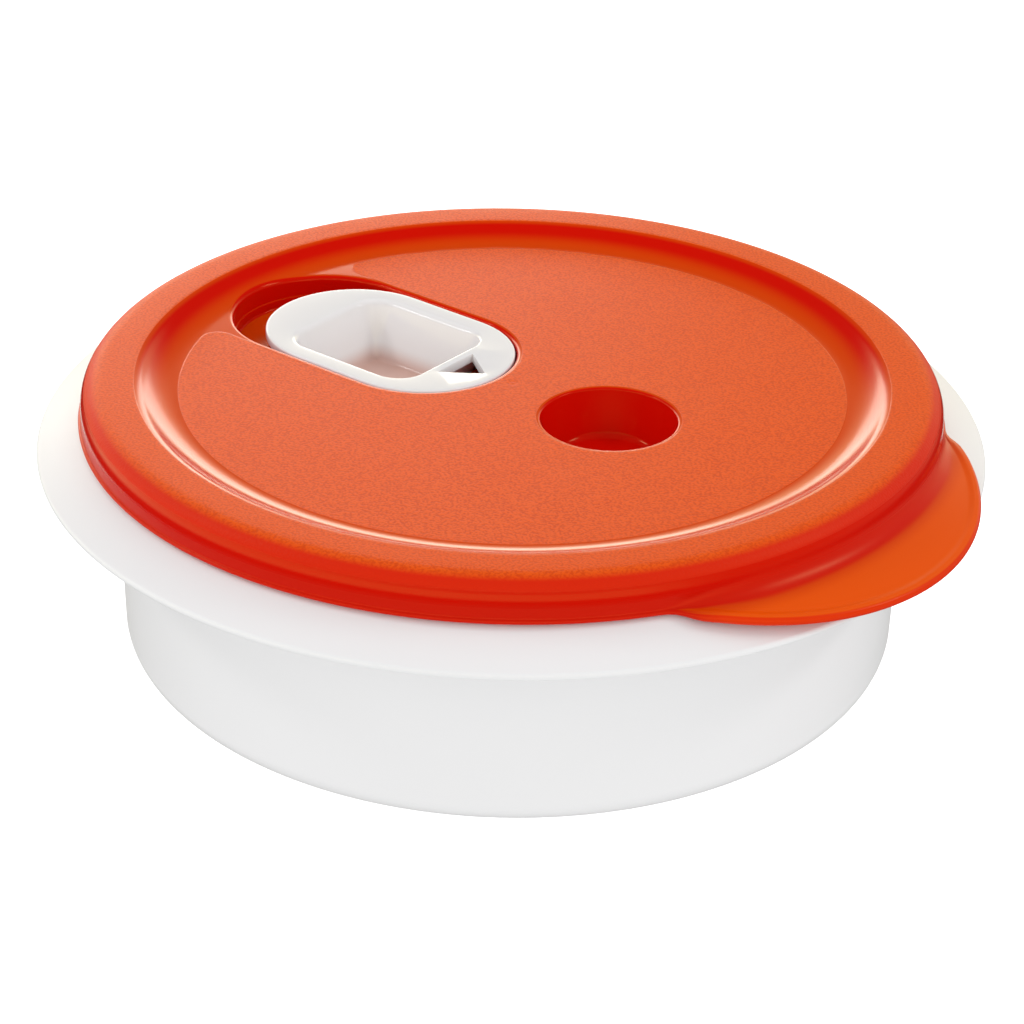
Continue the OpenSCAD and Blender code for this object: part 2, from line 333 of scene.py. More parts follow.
# %% White plastics
def white_finish(name, tone, shade, rough, vary, ripple, painted_depth_shade=None):
    """A white moulding. The last argument is a low and a high level in mm and a colour: painted
    shade and painted warm light that the surface takes below them.
    """
    material, graph, place, shader = new_finish(name)
    patch = grain(graph, place, 22)
    fine = grain(graph, place, 900, 1.0)
    surface = graph.add(
        "ShaderNodeBump", None,
        {"Strength": 0.4, "Distance": ripple * MM, "Height": fine * 0.3 + patch},
    )
    colour = blend(graph, patch, (*shade, 1), (*tone, 1))
    # Painted shade and painted warm light: below the given levels the colour darkens towards a warm
    # tint.
    if painted_depth_shade:
        low, high, tint = painted_depth_shade
        height = graph.split(place)[2] * (1 / MM)
        colour = blend(graph, graph.step(height, high, low), colour, (*tint, 1))
    feed(
        graph, shader, Base_Color=colour, Normal=surface,
        Roughness=rough + (patch - 0.5) * vary + (fine - 0.5) * vary * 0.5,
        IOR=1.46,
    )
    return material


satin_white = white_finish(
    "satin_white", (0.885, 0.885, 0.89), (0.87, 0.87, 0.875), 0.42, 0.08, 0.02
)
# The slider turns darker and warm deep in its well: painted shade and painted orange light.
gloss_white = white_finish(
    "gloss_white", (0.86, 0.84, 0.835), (0.845, 0.825, 0.82), 0.14, 0.04, 0.01,
    painted_depth_shade=(PANEL_Z - 16.0, PANEL_Z - 10.0, (0.68, 0.42, 0.35)),
)
rack_white = white_finish("rack_white", (0.86, 0.86, 0.85), (0.84, 0.84, 0.83), 0.42, 0.08, 0.02)
print("white plastics made")

# %% [markdown]
# ## Turning an outline
#
# The dish is round about one axis, so it is a half outline turned once round, like
# clay on a wheel. Blender's Screw modifier could do it. A small Geometry Nodes tree
# is used here, because its rule is plain to read: a flat grid is made with one row
# for each point of the outline, every point of the grid looks up its row, and is set
# at that radius and height and at an angle given by its column.

# %% A tree that turns an outline
def read_inputs(tree, *names):
    """Adds the tree's named inputs and output; returns its graph and the inputs' node."""
    for name, kind in names:
        tree.interface.new_socket(name, in_out="INPUT", socket_type="NodeSocket" + kind)
    tree.interface.new_socket("Mesh", in_out="OUTPUT", socket_type="NodeSocketGeometry")
    graph = Graph(tree)
    return graph, graph.add("NodeGroupInput")


def end_tree(graph, given, mesh):
    """Makes the result real geometry in its finish, and gives it out."""
    whole = graph.add("GeometryNodeRealizeInstances", None, {"Geometry": mesh})
    done = graph.add("GeometryNodeSetMaterial", None,
                     {"Geometry": whole, "Material": given.output("Finish")})
    graph.add("NodeGroupOutput", None, {"Mesh": done})


turning = bpy.data.node_groups.new("turn_an_outline", "GeometryNodeTree")
graph, given = read_inputs(
    turning, ("Outline", "Geometry"), ("Rows", "Int"), ("Columns", "Int"), ("Finish", "Material")
)
grid = graph.add("GeometryNodeMeshGrid", None, {
    "Size X": 1.0, "Size Y": 1.0,
    "Vertices X": given.output("Rows"), "Vertices Y": given.output("Columns") + 1,
})
across, along, _ = graph.split(graph.add("GeometryNodeInputPosition"))
row = ((across + 0.5) * (given.output("Rows") - 1)).maths("ROUND")
spot = graph.add(
    "GeometryNodeSampleIndex", {"data_type": "FLOAT_VECTOR"},
    {"Geometry": given.output("Outline"), "Value": graph.add("GeometryNodeInputPosition"),
     "Index": row},
)
radius, _, height = graph.split(spot)
angle = (along + 0.5) * math.tau
turned = graph.add("ShaderNodeCombineXYZ", None, {
    0: radius * angle.maths("COSINE"), 1: radius * angle.maths("SINE"), 2: height,
})
bent = graph.add("GeometryNodeSetPosition", None, {"Geometry": grid, "Position": turned})
closed = graph.add("GeometryNodeMergeByDistance", None, {"Geometry": bent, "Distance": 1e-6})
end_tree(graph, given, closed)
print("turning tree:", len(turning.nodes), "nodes")

# %% [markdown]
# ## From a tree to a plain mesh
#
# A modifier's result has to become a mesh of its own before it can ride on a body.
# `run_tree` puts a tree on an object, sets its inputs by their identifiers, reads the
# result back and takes the modifier away. `tidy` welds what touches, turns the faces
# outward, and marks every edge that is really sharp, so that the rest shades
# smoothly.

# %% Helpers for meshes
SHARP, WELD, TINY = math.radians(32), 2e-6, 1e-7


def new_piece(name, mesh):
    piece = bpy.data.objects.new(name, mesh)
    bpy.context.scene.collection.objects.link(piece)
    return piece


def apply_modifiers(piece):
    """Makes what the modifiers show the piece's own mesh, and removes them."""
    bpy.context.view_layer.update()
    dg = bpy.context.evaluated_depsgraph_get()
    mesh = bpy.data.meshes.new_from_object(piece.evaluated_get(dg))
    piece.modifiers.clear()
    piece.data = mesh


def run_tree(piece, tree, **inputs):
    """Applies a Geometry Nodes tree; inputs are its named inputs, _ for a space."""
    modifier = piece.modifiers.new(tree.name, "NODES")
    modifier.node_group = tree
    for item in tree.interface.items_tree:
        key = item.name.replace(" ", "_")
        if item.in_out == "INPUT" and key in inputs:
            modifier[item.identifier] = inputs[key]
    apply_modifiers(piece)


def tidy(piece, finish):
    """Welds, faces outward, marks sharp edges, smooths the rest and gives the finish."""
    shape = bmesh.new()
    shape.from_mesh(piece.data)
    bmesh.ops.remove_doubles(shape, verts=shape.verts, dist=WELD)
    bmesh.ops.dissolve_degenerate(shape, edges=shape.edges, dist=TINY)
    bmesh.ops.recalc_face_normals(shape, faces=shape.faces)
    open_edges = sum(not e.is_manifold for e in shape.edges)
    for face in shape.faces:
        face.smooth = True
    for edge in shape.edges:
        if len(edge.link_faces) == 2:
            edge.smooth = edge.calc_face_angle(0) < SHARP
    shape.to_mesh(piece.data)
    shape.free()
    piece.data.materials.clear()
    piece.data.materials.append(finish)
    print(f"{piece.name}: {len(piece.data.polygons)} faces, {open_edges} open edges")


def arc(r, z, size_r, size_z, start, stop, steps):
    """Points on an arc in the half plane of a turned outline, angles in degrees."""
    angles = np.radians(np.linspace(start, stop, steps + 1))
    return [(r + size_r * math.cos(a), z + size_z * math.sin(a)) for a in angles]


def bend(first, corner, last, steps):
    """A smooth curve from first to last that heads for the corner between them."""
    t = np.linspace(0, 1, steps + 1)[:, None]
    first, corner, last = (np.array(p, float) for p in (first, corner, last))
    return [tuple(p) for p in (1 - t) ** 2 * first + 2 * t * (1 - t) * corner + t ** 2 * last]


def turn(name, outline, columns, finish):
    """A solid turned from an outline of (radius, height) in millimetres."""
    mesh = bpy.data.meshes.new(name)
    mesh.from_pydata(
        [(r * MM, 0, z * MM) for r, z in outline],
        [(i, i + 1) for i in range(len(outline) - 1)], [],
    )
    piece = new_piece(name, mesh)
    run_tree(piece, turning, Rows=len(outline), Columns=columns, Finish=finish)
    tidy(piece, finish)
    return piece


print("outlines can be turned")

# %% [markdown]
# ## The dish
#
# The dish is injection moulded in one shot. Its outline goes from the middle of the
# underside out to the rounded corner, up the steep wall, out along the underside of
# the brim, round the lip and back in. There an upright collar with a bead on top is
# what the lid snaps over. The inside then comes back down to the floor.

# %% Dish
FOOT_R, CORNER_W, CORNER_H = 80.5, 19.0, 10.0
LIP_R = DISH_T / 2
WALL_LOW_R = WALL_R - 1.0
DISH_FLOOR = DISH_T + 0.2
DISH_IN_R = WALL_R - DISH_T
SHELF_R = WALL_R + SHELF_W
SHELF_Z = LIP_Z + (BRIM_R - LIP_R - SHELF_R) * BRIM_SLOPE
BEAD_R, BEAD_AT_R = 1.6, WALL_R + 0.8
BEAD_Z = RING_Z - LID_T - 0.5 - BEAD_R
COLLAR_R = BEAD_AT_R + BEAD_R - 1.2
LEAN = math.degrees(math.atan(BRIM_SLOPE))

under_shelf, shelf_top = SHELF_Z - LIP_R, SHELF_Z + LIP_R
outline = [(0, 0.6), (30, 0.6), (68, 0.6)]
outline += bend((69.2, 0.6), (70, 0.6), (70.4, 0.1), 4) + [(70.8, 0), (75, 0)]
outline += arc(FOOT_R, CORNER_H, CORNER_W, CORNER_H, -90, 0, 28)
outline += [(WALL_LOW_R + share, CORNER_H + share * (under_shelf - 2.4 - CORNER_H))
            for share in (0.25, 0.5, 0.75)]
outline += bend((WALL_R, under_shelf - 2.2), (WALL_R, under_shelf),
                (WALL_R + 2.4, under_shelf), 8)
outline += bend((SHELF_R - 1.6, under_shelf), (SHELF_R - 0.3, under_shelf),
                (SHELF_R + 1.3, under_shelf - 1.6 * BRIM_SLOPE), 5)
outline += arc(BRIM_R - LIP_R, LIP_Z, LIP_R, LIP_R, -90 - LEAN, 90 - LEAN, 18)
outline += bend((SHELF_R + 1.4, shelf_top - 1.4 * BRIM_SLOPE), (SHELF_R, shelf_top),
                (SHELF_R - 1.4, shelf_top), 5)
outline += bend((COLLAR_R + 1.6, shelf_top), (COLLAR_R, shelf_top),
                (COLLAR_R, shelf_top + 1.6), 8)
outline += [(COLLAR_R, BEAD_Z - BEAD_R)]
outline += arc(BEAD_AT_R, BEAD_Z, BEAD_R, BEAD_R, -20, 180, 18)
outline += bend((DISH_IN_R + 0.7, BEAD_Z - 1), (DISH_IN_R, BEAD_Z - 2),
                (DISH_IN_R, BEAD_Z - 3.4), 5)
outline += [(DISH_IN_R, LIP_Z), (WALL_LOW_R - DISH_T, CORNER_H + 1)]
outline += arc(FOOT_R, CORNER_H, CORNER_W - DISH_T, CORNER_H - DISH_FLOOR, 0, -90, 24)
outline += [(60, DISH_FLOOR), (20, DISH_FLOOR), (0, DISH_FLOOR)]

dish = turn("dish", outline, 288, satin_white)
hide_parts("bowl")
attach(dish, "dish")

# %% [markdown]
# ## Surfaces from loops
#
# The lid is round, but the recess, the slot and the tab are not, so turning alone
# won't make it. Joining whole solids with Boolean operations would, but leaves
# ragged edges where a fillet should run. `Shell` grows the surface the way a pattern
# maker would draw it: loops of points, bands of four-sided faces from one loop to
# the next, and flat or gently curved sheets with holes, which a Delaunay
# triangulation fills. `Outline` is a closed outline that can be drawn wider or
# narrower by any amount, which is how fillets and sloping walls are made.

# %% Outline and Shell
class Outline:
    """Centres and outward directions: a rectangle with round corners, or a circle."""

    def __init__(self, length, width, corner, x=0.0, corner_steps=16, side_steps=12):
        half = np.array([length / 2 - corner, width / 2 - corner])
        centres, outward = [], []
        signs = [(1, 1), (-1, 1), (-1, -1), (1, -1)]
        for i, sign in enumerate(signs):
            here, there = half * sign, half * signs[(i + 1) % 4]
            flat_side = np.linalg.norm(there - here) > 1e-6
            for a in np.radians(np.linspace(90 * i, 90 * (i + 1), corner_steps + 1)):
                centres.append(here)
                outward.append((math.cos(a), math.sin(a)))
            if flat_side:
                for share in np.linspace(0, 1, side_steps + 1)[1:-1]:
                    centres.append(here + (there - here) * share)
                    outward.append(outward[-1])
            else:
                centres.pop()
                outward.pop()
        self.centres = np.array(centres) + (x, 0)
        self.outward, self.corner = np.array(outward), corner

    def at(self, grow):
        """The outline moved outward by grow, one amount or one for each point."""
        return self.centres + self.outward * (self.corner + np.asarray(grow)[..., None])

    def guide(self, grow):
        """All of the outline, moved outward, as a run that a sheet's faces follow."""
        return self.at(grow), np.ones(len(self.centres), bool)


def inside(points, rim):
    """True for each point that lies inside the closed outline rim."""
    hit = np.zeros(len(points), bool)
    px, py = points[:, 0], points[:, 1]
    for (ax, ay), (bx, by) in zip(rim, np.roll(rim, -1, 0)):
        if ay != by:
            hit ^= ((ay > py) != (by > py)) & (px < (bx - ax) * (py - ay) / (by - ay) + ax)
    return hit


class Shell:
    """Points in millimetres and the faces between them."""

    def __init__(self):
        self.points, self.faces = [], []

    def loop(self, flat, heights):
        """Adds a closed loop; heights is one height, or one for each point."""
        first = len(self.points)
        tall = np.broadcast_to(heights, (len(flat),))
        self.points += [(p[0], p[1], h) for p, h in zip(flat, tall)]
        return list(range(first, len(self.points)))

    def stack(self, outline, *steps):
        """A loop of the outline for each (grow, height)."""
        return [self.loop(outline.at(grow), height) for grow, height in steps]

    def bands(self, loops):
        """Joins each loop to the next, and returns the last."""
        for a, b in zip(loops, loops[1:]):
            n = len(a)
            self.faces += [(a[i], a[(i + 1) % n], b[(i + 1) % n], b[i]) for i in range(n)]
        return loops[-1]

    def cap(self, loop, x, y, z):
        """Closes a loop to one point in the middle."""
        self.points.append((x, y, z))
        top = len(self.points) - 1
        self.faces += [(a, b, top) for a, b in zip(loop, loop[1:] + loop[:1])]

    def sheet(self, outer, holes=(), guides=(), height=None):
        """Fills between loops. guides are (points, kept) runs that the faces follow."""
        known = [i for rim in (outer, *holes) for i in rim]
        flat = [Vector(self.points[i][:2]) for i in known]
        edges, start = [], 0
        for rim in (outer, *holes):
            n = len(rim)
            edges += [(start + i, start + (i + 1) % n) for i in range(n)]
            start += n
        for points, kept in guides:
            place = {}
            for i in np.flatnonzero(kept):
                place[i] = len(flat)
                flat.append(Vector(points[i]))
            n = len(points)
            edges += [(place[i], place[(i + 1) % n]) for i in place if (i + 1) % n in place]
        xy, _, triangles, source, _, _ = delaunay_2d_cdt(flat, edges, [], 0, 1e-5)
        index = []
        for point, origin in zip(xy, source):
            old = [known[o] for o in origin if o < len(known)]
            if not old:
                self.points.append((point.x, point.y, height(point.x, point.y)))
            index.append(old[0] if old else len(self.points) - 1)
        middle = np.array([np.mean([xy[i] for i in t], 0) for t in triangles])
        rims = [np.array([self.points[i][:2] for i in rim]) for rim in (outer, *holes)]
        keep = inside(middle, rims[0])
        for rim in rims[1:]:
            keep &= ~inside(middle, rim)
        self.faces += [tuple(index[i] for i in t) for t, k in zip(triangles, keep) if k]

    def piece(self, name, finish):
        mesh = bpy.data.meshes.new(name)
        mesh.from_pydata((np.array(self.points) * MM).tolist(), [], self.faces)
        made = new_piece(name, mesh)
        tidy(made, finish)
        return made


print("shells can be grown")

# %% [markdown]
# ## The lid's rows
#
# From the groove outward the lid is a stack of rows, each once round the lid. Most
# rows are circles. Those of the skirt run out into the lift tab. At each angle the
# lip reaches to `reach`, a smooth meeting of the lip's circle and the tab's circle.
# Two profiles are drawn point for point: the plain skirt with its thin lip, and the
# shoulder flowing through a wide concave arc into the sloping tab. Each angle takes
# its own share of the two. The tab's top is sunk behind a bead, so that a thumb
# finds it.

# %% Heights of the lid
GROOVE_W, RING_ROUND = RING_IN_R - PANEL_R, 5.5
GROOVE_TURN = 2 * math.atan(PANEL_DROP / GROOVE_W)
GROOVE_ROUND = GROOVE_W / math.sin(GROOVE_TURN) - RING_ROUND
SHEET_R = 91.5            # where the filled sheet ends and the rows begin
UNDER_SHEET_R = 90.7


def top_height(x, y):
    """Top of the panel and of the groove's inner curve."""
    out = np.maximum(np.hypot(x, y) - PANEL_R, 0)
    return PANEL_Z + GROOVE_ROUND - np.sqrt(GROOVE_ROUND ** 2 - out ** 2)


def under_height(x, y):
    """Underside of the panel and of the groove."""
    r = np.hypot(x, y)
    return np.interp(
        r, (PANEL_R, PANEL_R + 4, UNDER_SHEET_R),
        (PANEL_Z - LID_T, PANEL_Z - LID_T + 0.2, RING_Z - LID_T - 1.6),
    )


print(f"groove: radius {GROOVE_ROUND:.2f} mm over {math.degrees(GROOVE_TURN):.1f} degrees")

# %% Reach of the lip and the tab
AROUND = 384
SHOULDER_R, SHOULDER_ROUND = 108.6, 6.0
SHOULDER_X, SHOULDER_Z = SHOULDER_R - SHOULDER_ROUND, RING_Z - SHOULDER_ROUND
LIP_OUT_R, LIP_T = SHOULDER_R + 0.7, 1.2
SKIRT_IN_R = LIP_OUT_R - LID_T
SKIRT_Z = LIP_Z + LIP_R + (BRIM_R - LIP_R - SKIRT_IN_R) * BRIM_SLOPE + 0.3
TAB_R, TAB_T, TAB_SLOPE, TAB_DISH, TAB_BLEND = 68.5, 2.4, 0.30, 0.5, 6.5
TAB_ROOT_R = LIP_OUT_R - LIP_T / 2
theta = np.arange(AROUND) * math.tau / AROUND
turn_xy = np.stack([np.cos(theta), np.sin(theta)], 1)


def smooth(t):
    t = np.clip(t, 0, 1)
    return t * t * (3 - 2 * t)


def soft_most(a, b, width):
    near = np.maximum(width - np.abs(a - b), 0) / width
    return np.maximum(a, b) + near * near * width / 4


tab_x = TAB_END - TAB_R
tab_reach = tab_x * np.cos(theta) + np.sqrt(
    np.maximum(TAB_R ** 2 - (tab_x * np.sin(theta)) ** 2, 0)
)
reach = soft_most(tab_reach, np.full(AROUND, LIP_OUT_R), 2.5)
stretch = reach - LIP_OUT_R
thick = LIP_T + (TAB_T - LIP_T) * smooth(stretch / 7)
print(f"tab: reaches {reach.max():.2f} mm, lip elsewhere {reach.min():.2f} mm")

# %% The profile where there is no tab
edge_z = SKIRT_Z + LIP_T / 2
plain = arc(SHOULDER_X, SHOULDER_Z, SHOULDER_ROUND, SHOULDER_ROUND, 90, 0, 12)
plain += [(SHOULDER_R + 0.08 * t, SHOULDER_Z - 0.35 - (SHOULDER_Z - 0.35 - edge_z - 1.1) * t)
          for t in np.linspace(0, 1, 8)]
plain += bend((SHOULDER_R + 0.09, edge_z + 1.0), (SHOULDER_R + 0.1, edge_z + 0.62),
              (TAB_ROOT_R + 0.22, edge_z + 0.56), 4)
plain += arc(TAB_ROOT_R, edge_z, LIP_T / 2, LIP_T / 2, 65, 20, 15)
plain += arc(TAB_ROOT_R, edge_z, LIP_T / 2, LIP_T / 2, 17, -90, 14)
print(f"skirt: shoulder radius {SHOULDER_R:.1f} mm, lip {LIP_T:.1f} mm thick at height {edge_z:.2f}")

# %% The profile through the tab
def fall(r):
    """How far the tab has fallen at radius r."""
    return TAB_SLOPE * np.maximum(r - TAB_ROOT_R, 0)


def tab_top(r):
    """Top of the tab, which is sunk behind the bead on its edge."""
    sunk = TAB_DISH * smooth((reach - 1.5 - r) / 1.9) * smooth(stretch / 5)
    return SKIRT_Z + thick - fall(r) - sunk


# A concave arc touches both the shoulder's arc and the tab's sloping top.
tilt = math.atan(TAB_SLOPE)
blend_r = np.minimum(0.5 + 0.55 * stretch, TAB_BLEND)
top_at_root = SKIRT_Z + thick - TAB_DISH * smooth(stretch / 5)
rise = top_at_root + TAB_SLOPE * TAB_ROOT_R + blend_r / math.cos(tilt) - SHOULDER_Z
half_b = SHOULDER_X + TAB_SLOPE * rise
full_c = SHOULDER_X ** 2 + rise ** 2 - (SHOULDER_ROUND + blend_r) ** 2
blend_x = (half_b + np.sqrt(half_b ** 2 - (1 + TAB_SLOPE ** 2) * full_c)) / (1 + TAB_SLOPE ** 2)
blend_z = SHOULDER_Z + rise - TAB_SLOPE * blend_x
meet = np.arctan2(blend_z - SHOULDER_Z, blend_x - SHOULDER_X)

through = []
for share in np.linspace(0, 1, 13):
    a = math.pi / 2 + (meet - math.pi / 2) * share
    through.append((SHOULDER_X + SHOULDER_ROUND * np.cos(a),
                    SHOULDER_Z + SHOULDER_ROUND * np.sin(a)))
for share in np.linspace(0, 1, 14)[1:]:
    a = math.pi + meet + (math.pi / 2 - tilt - meet) * share
    through.append((blend_x + blend_r * np.cos(a), blend_z + blend_r * np.sin(a)))
edge_start = reach - thick / 2
flat_start = np.minimum(through[-1][0], edge_start - 0.1)
bead_start = np.clip(reach - 3.6, flat_start + 0.05, edge_start - 0.05)
for low, high, steps in ((flat_start, bead_start, 7), (bead_start, edge_start, 9)):
    for share in np.linspace(0, 1, steps + 1)[1:]:
        r = low + (high - low) * share
        through.append((r, tab_top(r)))
edge_middle = SKIRT_Z + thick / 2 - fall(edge_start)
for a in np.radians(np.linspace(80, -90, 15)):
    through.append((edge_start + thick / 2 * math.cos(a),
                    edge_middle + thick / 2 * math.sin(a)))
print(len(plain), "points without the tab,", len(through), "through it")

# %% Row list
rows = []


def add_rows(points):
    """Rows that are plain circles."""
    rows.extend((np.full(AROUND, r), np.full(AROUND, h)) for r, h in points)


groove_end = PANEL_R + GROOVE_ROUND * math.sin(GROOVE_TURN)
for r in np.linspace(SHEET_R, groove_end, 4)[1:-1]:
    add_rows([(r, float(top_height(r, 0)))])
turn_deg = math.degrees(GROOVE_TURN)
add_rows(arc(RING_IN_R, RING_Z - RING_ROUND, RING_ROUND, RING_ROUND, 90 + turn_deg, 90, 10))
add_rows([(RING_IN_R + 0.4, RING_Z), (99.5, RING_Z)])
tab_share = smooth(stretch / 4)
for (r, h), (tab_row_r, tab_row_z) in zip(plain, through):
    rows.append((r + (tab_row_r - r) * tab_share, h + (tab_row_z - h) * tab_share))
for share in (0.3, 0.6):
    r = edge_start + (SKIRT_IN_R - edge_start) * share
    rows.append((r, SKIRT_Z - fall(r)))
SEAL_R, SEAL_T, SEAL_REACH = DISH_IN_R - 0.5, 1.4, 7.0
under = RING_Z - LID_T
add_rows([(SKIRT_IN_R, SKIRT_Z)])
add_rows(arc(SHOULDER_X, SHOULDER_Z, SHOULDER_ROUND - LID_T, SHOULDER_ROUND - LID_T, 0, 90, 8))
add_rows([(SEAL_R, under), (SEAL_R, under - SEAL_REACH + 0.6), (SEAL_R - 0.4, under - SEAL_REACH)])
add_rows([(SEAL_R - SEAL_T, under - SEAL_REACH), (SEAL_R - SEAL_T, under - 1.2)])
print(len(rows), "rows of", AROUND)

# %% [markdown]
# ## The lid
#
# The middle of the lid is a sheet with three openings: the finger cup, the long
# recess for the vent slider, and the small dimple that the moulding gate leaves.
# Each opening starts with a rounded rim, drops down its wall and ends in a floor.
# The recess's wall has a step two thirds of the way down, and its floor has a slot
# that the slider's well passes through. The underside is a second sheet, and the
# whole closes into one watertight shell.

# %% Recess and cup sizes
PLATE_L, PLATE_W, PLATE_T, TRAVEL, SLIDE_GAP = 70.4, 47.2, 2.4, 10.8, 0.4
RECESS_DEPTH, RECESS_REACH = 7.6, 3.1
RECESS_L, RECESS_W = PLATE_L + 2 * SLIDE_GAP + TRAVEL, PLATE_W + 2 * SLIDE_GAP
RECESS_X = RECESS_L / 2 - PANEL_R - RECESS_REACH
RECESS_Z = PANEL_Z - RECESS_DEPTH
SLIDER_X = RECESS_X + TRAVEL / 2
PLATE_TOP = PANEL_Z - 0.2
WELL_L, WELL_W, WELL_DEPTH, WELL_X = 40.2, 35.2, 15.0, -0.5
WELL_CORNER, WELL_T = 7.0, 1.6
DRAFT = math.radians(20)
SHRINK, WALL_STEP = math.tan(DRAFT), WELL_T / math.cos(DRAFT)
NECK_DROP = PLATE_TOP - RECESS_Z
NECK_L = WELL_L / 2 - NECK_DROP * SHRINK + WALL_STEP
NECK_W = WELL_W / 2 - NECK_DROP * SHRINK + WALL_STEP
SLOT_L, SLOT_W = 2 * (NECK_L + SLIDE_GAP) + TRAVEL, 2 * (NECK_W + SLIDE_GAP)
SLOT_CORNER = WELL_CORNER - NECK_DROP * SHRINK + WALL_STEP
SLOT_X = SLIDER_X + WELL_X + NECK_L + SLIDE_GAP - SLOT_L / 2
CUP_DEPTH, CUP_FLOOR_R, OUTER_T = 12.0, 13.0, 1.8
print(f"recess {RECESS_L:.1f} x {RECESS_W:.1f} mm about x {RECESS_X:.1f},"
      f" slot {SLOT_L:.1f} x {SLOT_W:.1f} mm")

# %% Lid shell
RIM_ROUND, CUP_ROUND = 1.2, 0.8
skin = Shell()
recess = Outline(RECESS_L, RECESS_W, RECESS_W / 2, RECESS_X, 32, 28)
slot = Outline(SLOT_L, SLOT_W, SLOT_CORNER, SLOT_X, 10, 16)
cup = Outline(2 * CUP_R, 2 * CUP_R, CUP_R, CUP_X, 28)
dimple = Outline(2, 2, 1, 0, 8)


def recess_loop(grow, drop):
    """A loop of the recess's rounded rim, which follows the groove where it crosses it."""
    flat = recess.at(grow)
    return skin.loop(flat, top_height(*flat.T) - drop)


def ring_guides(radii, *zones):
    """Circles for a sheet's faces to follow, without the points that lie in a zone."""
    flats = [turn_xy * r for r in radii]
    return [(flat, ~np.any([inside(flat, zone) for zone in zones], 0)) for flat in flats]


rim_angles = np.radians(np.linspace(0, 90, 9))
recess_rim = [recess_loop(RIM_ROUND * (1 - math.sin(a)), RIM_ROUND * (1 - math.cos(a)))
              for a in rim_angles]
cup_rim = skin.stack(cup, *(
    (CUP_ROUND * (1 - math.sin(a)), PANEL_Z - CUP_ROUND * (1 - math.cos(a))) for a in rim_angles))
gate = skin.stack(dimple, *(
    (r - 1, PANEL_Z - d) for r, d in ((1.7, 0), (1.4, 0.04), (1.1, 0.1), (0.8, 0.12), (0.5, 0.05))))
skin.cap(skin.bands(gate), 0, 0, PANEL_Z - 0.04)

edge = skin.loop(turn_xy * SHEET_R, float(top_height(SHEET_R, 0)))
ring_radii = np.concatenate([[60, PANEL_R - 0.5], np.linspace(PANEL_R, SHEET_R, 12)[:-1]])
guides = [recess.guide(RIM_ROUND + 0.5), cup.guide(CUP_ROUND + 0.5), dimple.guide(1.8)]
guides += ring_guides(ring_radii, recess.at(RIM_ROUND + 0.9), cup.at(CUP_ROUND + 0.9))
skin.sheet(edge, [recess_rim[0], cup_rim[0], gate[0]], guides, top_height)
print("top sheet:", len(skin.faces), "faces")

# %% Recess, slot and cup
STEP_Z, STEP_IN, FLOOR_ROUND = RECESS_Z + 2.5, 0.55, 0.8
wall = skin.stack(
    recess, (0, PANEL_Z - RIM_ROUND - 0.6), (0, STEP_Z + 0.3), (-0.1, STEP_Z + 0.05),
    (-STEP_IN + 0.1, STEP_Z - 0.1), (-STEP_IN, STEP_Z - 0.3), (-STEP_IN, RECESS_Z + FLOOR_ROUND))
floor = skin.stack(recess, *(
    (-STEP_IN - FLOOR_ROUND * (1 - math.cos(a)), RECESS_Z + FLOOR_ROUND * (1 - math.sin(a)))
    for a in rim_angles[2::2]))
recess_floor = skin.bands(recess_rim + wall + floor)
slot_walls = skin.stack(
    slot, (0.3, RECESS_Z), (0.06, RECESS_Z - 0.06), (0, RECESS_Z - 0.3), (0, RECESS_Z - LID_T))
skin.bands(slot_walls)
skin.sheet(recess_floor, [slot_walls[0]], [slot.guide(0.8)], lambda x, y: RECESS_Z)

CUP_FLOOR_ROUND = 2.2
cup_floor_z = PANEL_Z - CUP_DEPTH
cup_lean = math.atan((CUP_R - CUP_FLOOR_R) / CUP_DEPTH)
cup_walls = list(cup_rim)
for a in np.linspace(cup_lean, math.pi / 2, 9):
    grow = CUP_FLOOR_R - CUP_R - CUP_FLOOR_ROUND * (1 - math.cos(a))
    drop = CUP_FLOOR_ROUND * (1 - math.sin(a))
    cup_walls.append(skin.loop(cup.at(grow + 0.6), cup_floor_z + drop))
skin.cap(skin.bands(cup_walls), CUP_X, 0, cup_floor_z)
print("openings made")

# %% Outside rows and underside
row_loops = [edge] + [skin.loop(turn_xy * r[:, None], h) for r, h in rows]
under_edge = skin.loop(turn_xy * UNDER_SHEET_R, float(under_height(UNDER_SHEET_R, 0)))
skin.bands(row_loops + [under_edge])

box_under = recess.at(OUTER_T)
box = [skin.loop(box_under, under_height(*box_under.T))]
box += skin.stack(recess, *(
    (OUTER_T - d, RECESS_Z - LID_T + h) for d, h in ((0, 0.6), (0.2, 0.15), (0.6, 0))))
skin.bands(box)
skin.sheet(box[-1], [slot_walls[-1]], height=lambda x, y: RECESS_Z - LID_T)
cup_out = skin.stack(cup, (OUTER_T, PANEL_Z - LID_T), *(
    (CUP_FLOOR_R - CUP_R + OUTER_T - d, cup_floor_z - OUTER_T + h)
    for d, h in ((0, 0.8), (0.25, 0.2), (0.8, 0))))
skin.cap(skin.bands(cup_out), CUP_X, 0, cup_floor_z - OUTER_T)
skin.sheet(
    under_edge, [box[0], cup_out[0]],
    ring_guides((PANEL_R, PANEL_R + 4), recess.at(OUTER_T + 0.4)), under_height)

lid = skin.piece("lid_shell", orange)
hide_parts("lid")
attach(lid, "lid")

# %% [markdown]
# ## The vent slider
#
# The slider is a flat oval plate with a sloping well for a fingertip and an arrow
# cut through it. The well hangs through the slot in the recess's floor and keeps the
# slider in line. Rails under the plate's straight sides run on the recess's floor,
# and two small clips catch under the slot. The plate and the well are one shell made
# of loops, and the rails and clips are joined to it with an exact union.

